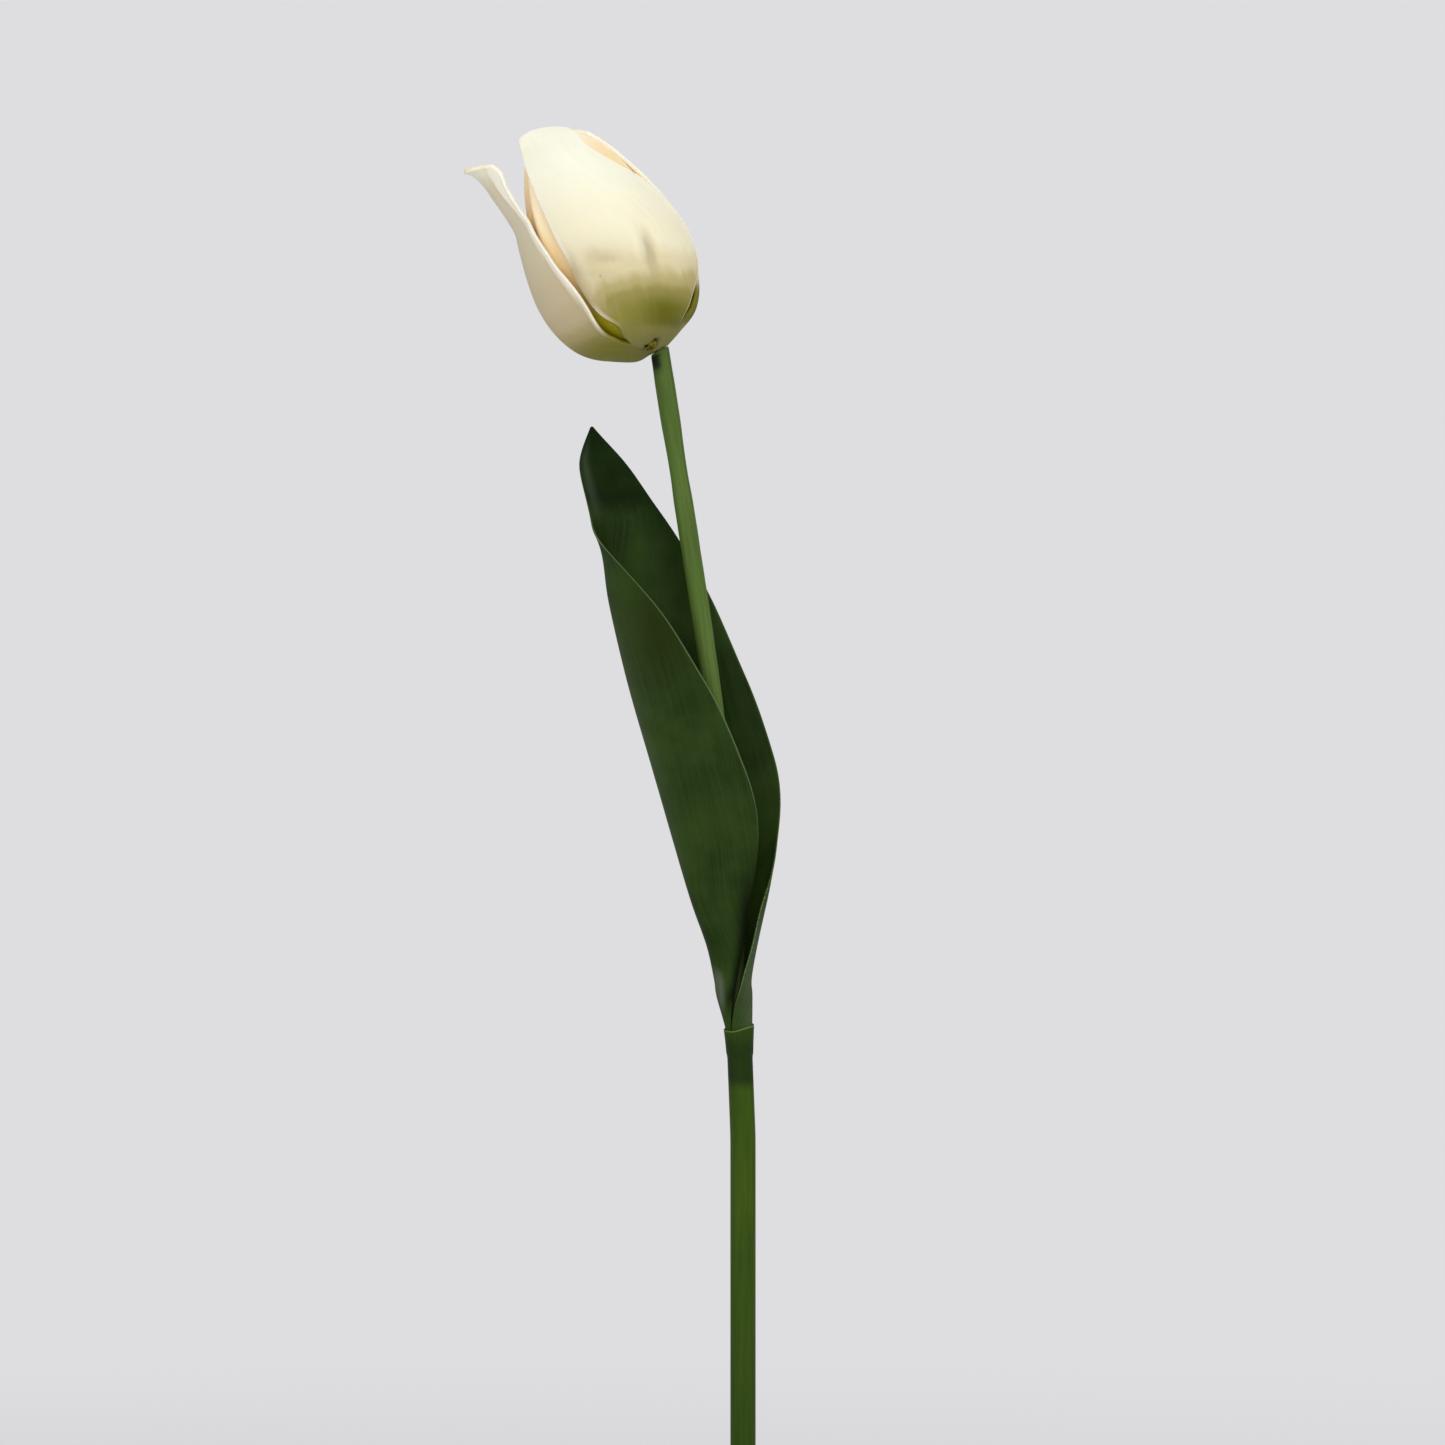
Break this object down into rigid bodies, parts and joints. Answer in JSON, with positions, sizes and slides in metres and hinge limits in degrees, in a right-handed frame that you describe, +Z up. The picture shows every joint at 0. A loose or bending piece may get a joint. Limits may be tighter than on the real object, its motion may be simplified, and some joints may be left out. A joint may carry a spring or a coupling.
{
  "type": "artificial flower",
  "caption": "Artificial tulip with a cream cup of moulded petal lobes, a folded green leaf and a wire-cored stem that pulls apart at a flared socket.",
  "frame": {"origin": "centre of the lower stem's flat cut end", "axes": "+Z up the lower stem, -Y towards the side the picture shows, -X the way the flower leans"},
  "size_m": [0.0827, 0.0429, 0.4341],
  "materials": {
    "lower_stem_green": "satin moulded polythene with faint streaks along its length",
    "upper_stem_green": "matt coated stem, paler than the lower one",
    "leaf_green": "matt leaf with fine veins along its length and a paler edge",
    "petal_cream": "soft matt foam latex, cream white with an olive base",
    "petal_peach": "soft matt foam latex, warm cream with an olive base",
    "wire_steel": "plain drawn wire",
    "hub_olive": "moulded plastic",
    "pistil_green": "matt moulded plastic",
    "stamen_cream": "matt moulded plastic",
    "anther_brown": "matt, slightly powdery"
  },
  "bodies": {
    "lower_stem": {"lower_stem_tube": "lower_stem_green", "lower_stem_wire": "wire_steel"},
    "connector": {"stem_connector": "lower_stem_green"},
    "upper_stem": {"upper_stem_tube": "upper_stem_green", "upper_stem_wire": "wire_steel"},
    "leaf": {"leaf": "leaf_green"},
    "flower_core": {"petal_hub": "hub_olive", "pistil": "pistil_green", "stigma": "stamen_cream", "filament_1": "stamen_cream", "anther_1": "anther_brown", "filament_2": "stamen_cream", "anther_2": "anther_brown", "filament_3": "stamen_cream", "anther_3": "anther_brown", "filament_4": "stamen_cream", "anther_4": "anther_brown", "filament_5": "stamen_cream", "anther_5": "anther_brown", "filament_6": "stamen_cream", "anther_6": "anther_brown"},
    "corolla": {"outer_petals": "petal_cream", "inner_petals": "petal_peach"}
  },
  "joints": [
    {"name": "stem_pull", "type": "slide", "parent": "lower_stem", "child": "connector", "axis": [-0.0384, 0, 0.9993], "range_m": [0, 0.03]},
    {"name": "stem_turn", "type": "hinge", "parent": "connector", "child": "upper_stem", "pos_m": [-0.0005, 0, 0.185], "axis": [-0.0384, 0, 0.9993], "continuous": true},
    {"name": "leaf_turn", "type": "hinge", "parent": "upper_stem", "child": "leaf", "pos_m": [-0.0005, 0, 0.185], "axis": [-0.0384, 0, 0.9993], "range_deg": [-12, 12]},
    {"name": "head_pull", "type": "slide", "parent": "upper_stem", "child": "flower_core", "axis": [-0.4772, 0, 0.8788], "range_m": [0, 0.012]},
    {"name": "petals_turn", "type": "hinge", "parent": "flower_core", "child": "corolla", "pos_m": [-0.0218, 0, 0.37659], "axis": [-0.4772, 0, 0.8788], "continuous": true}
  ]
}
